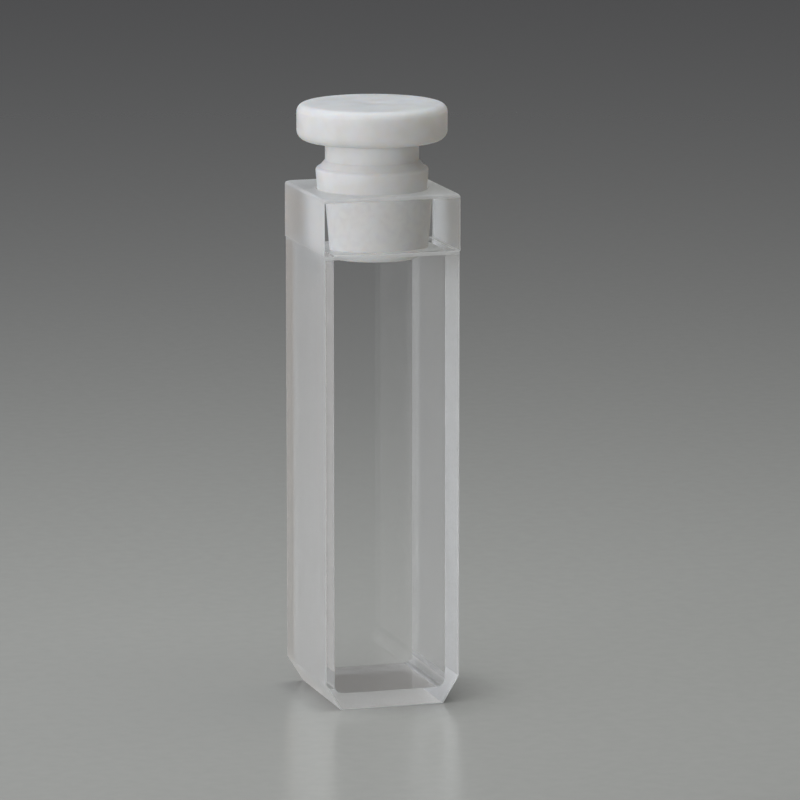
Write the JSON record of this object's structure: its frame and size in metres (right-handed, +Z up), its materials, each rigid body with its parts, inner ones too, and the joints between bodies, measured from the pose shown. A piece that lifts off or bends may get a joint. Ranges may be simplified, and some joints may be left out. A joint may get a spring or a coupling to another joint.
{
  "type": "stoppered cuvette",
  "caption": "Square clear sample cell with polished windows, ground side walls and a neck block, closed by a tapered push-in stopper that lifts out of its bore.",
  "frame": {"origin": "centre of the flat base that the cell stands on", "axes": "+Z up along the cell; +Y along the light path from the front window to the rear window; X across the windows"},
  "size_m": [0.0134, 0.0134, 0.0536],
  "materials": {
    "polished_quartz": "polished clear fused quartz with finely ground edges",
    "ground_quartz": "fused quartz, finely ground and frosted on its outer sides",
    "white_resin": "turned white fluoropolymer with a waxy low gloss"
  },
  "bodies": {
    "cell": {"spacer_frame": "ground_quartz", "front_window": "polished_quartz", "rear_window": "polished_quartz", "neck_block": "polished_quartz"},
    "stopper": {"stopper": "white_resin"}
  },
  "joints": [
    {"name": "stopper_pull", "type": "slide", "parent": "cell", "child": "stopper", "axis": [0, 0, 1], "range_m": [0, 0.009]}
  ]
}
